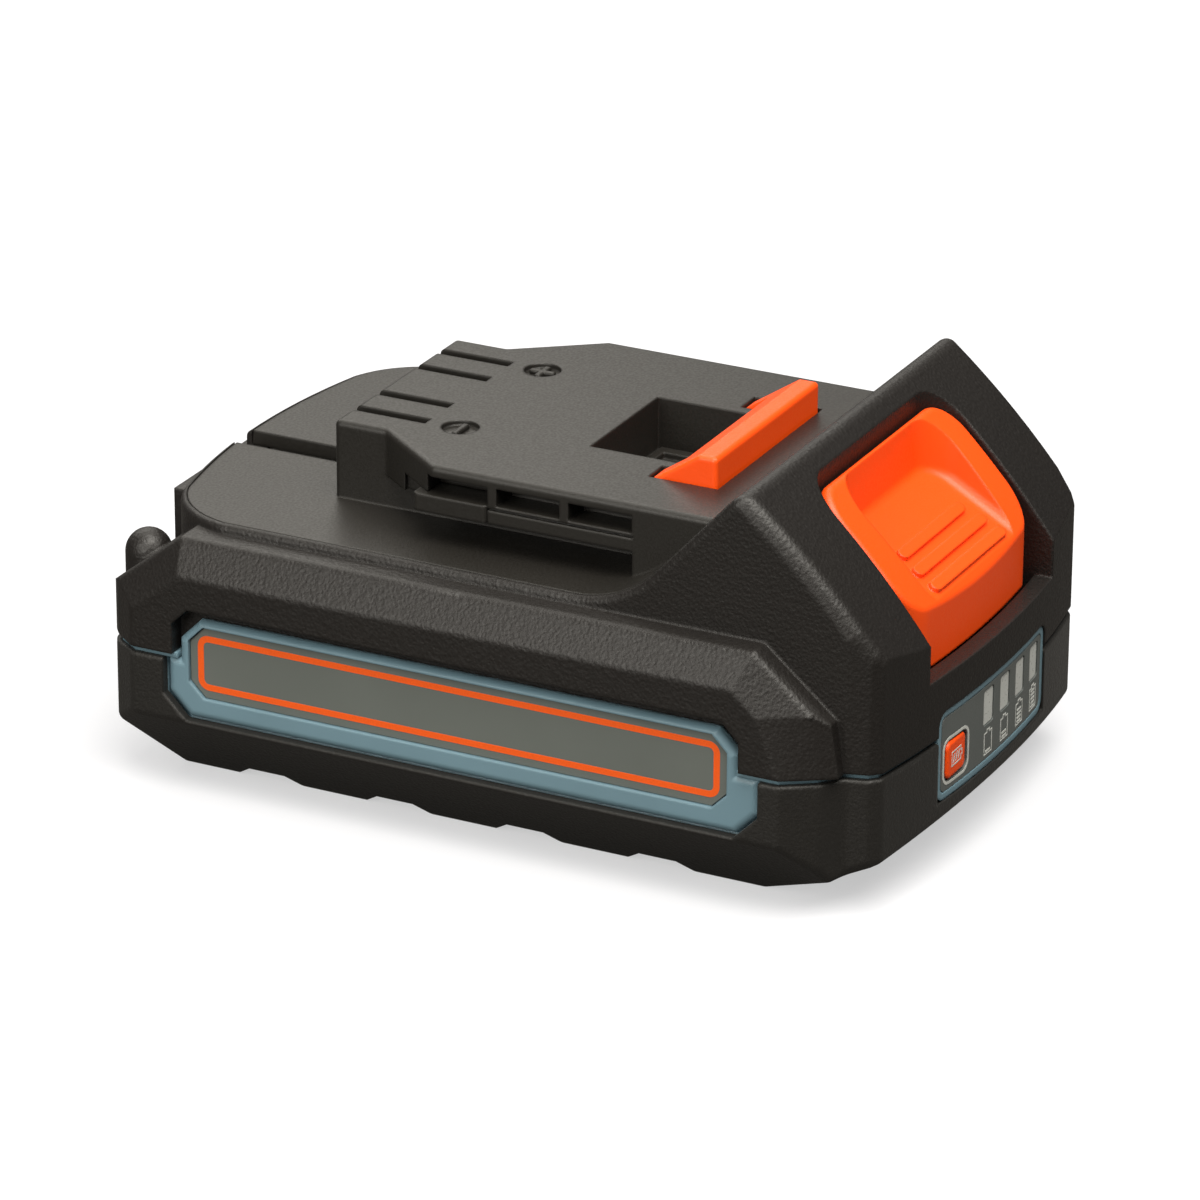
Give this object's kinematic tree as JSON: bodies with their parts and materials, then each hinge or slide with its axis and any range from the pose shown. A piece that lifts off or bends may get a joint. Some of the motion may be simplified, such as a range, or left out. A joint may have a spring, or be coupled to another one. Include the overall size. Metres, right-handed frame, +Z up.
{
  "type": "power tool battery pack",
  "caption": "Slide-on rechargeable battery pack with T-rail, terminal slots, sprung release tile with lock wedge, charge gauge and soft lower bumper.",
  "frame": {"origin": "on the table under the middle of the pack", "axes": "+X to the right of someone facing the terminal nose, +Y towards the terminal nose, +Z up through the rail"},
  "size_m": [0.078, 0.115, 0.0545],
  "materials": {
    "soft_black": "matt",
    "blue_grey_plastic": "fine texture",
    "cover_black": "coarse spark texture",
    "deck_black": "smooth satin",
    "pad_plastic": "smooth satin",
    "orange_plastic": "satin",
    "steel": "plain",
    "cell_sleeve": "satin sleeve",
    "carrier_plastic": "satin",
    "nickel": "plain",
    "insulating_sheet": "matt",
    "board_laminate": "solder mask",
    "component_plastic": "matt",
    "contact_metal": "plated",
    "terminal_plastic": "satin",
    "light_plastic": "clear satin",
    "membrane": "satin film",
    "flex_film": "film",
    "sensor_resin": "resin",
    "label_film": "satin film"
  },
  "bodies": {
    "pack": {"board_components": "component_plastic", "board_screws": "steel", "button_springs": "steel", "cell_1": "cell_sleeve", "cell_2": "cell_sleeve", "cell_3": "cell_sleeve", "cell_4": "cell_sleeve", "cell_5": "cell_sleeve", "cell_carrier_left": "carrier_plastic", "cell_carrier_right": "carrier_plastic", "cell_strips_left": "nickel", "cell_strips_right": "nickel", "circuit_board": "board_laminate", "contact_data": "contact_metal", "contact_negative": "contact_metal", "contact_positive": "contact_metal", "contact_thermal": "contact_metal", "end_insulator_left": "insulating_sheet", "end_insulator_right": "insulating_sheet", "gauge_board": "board_laminate", "gauge_flex": "flex_film", "gauge_lamps": "light_plastic", "gauge_overlay": "membrane", "housing_screws": "steel", "light_guide": "light_plastic", "lower_bumper": "soft_black", "lower_shell": "blue_grey_plastic", "rail_deck": "deck_black", "rail_pad_left": "pad_plastic", "rail_pad_right": "pad_plastic", "side_label_left": "label_film", "side_label_right": "label_film", "terminal_base": "terminal_plastic", "test_switch": "component_plastic", "thermistor": "sensor_resin", "upper_housing": "cover_black"},
    "release": {"release_button": "orange_plastic", "latch": "orange_plastic"},
    "test_key": {"test_button": "orange_plastic"}
  },
  "joints": [
    {"name": "release_slide", "type": "slide", "parent": "pack", "child": "release", "axis": [0, 0, -1], "range_m": [0, 0.0042], "stiffness_N_per_m": 600, "springref_m": -0.004, "deforming": ["button_springs"]},
    {"name": "test_key_slide", "type": "slide", "parent": "pack", "child": "test_key", "axis": [0, 1, 0], "range_m": [0, 0.0005], "stiffness_N_per_m": 800, "springref_m": -0.0005}
  ]
}
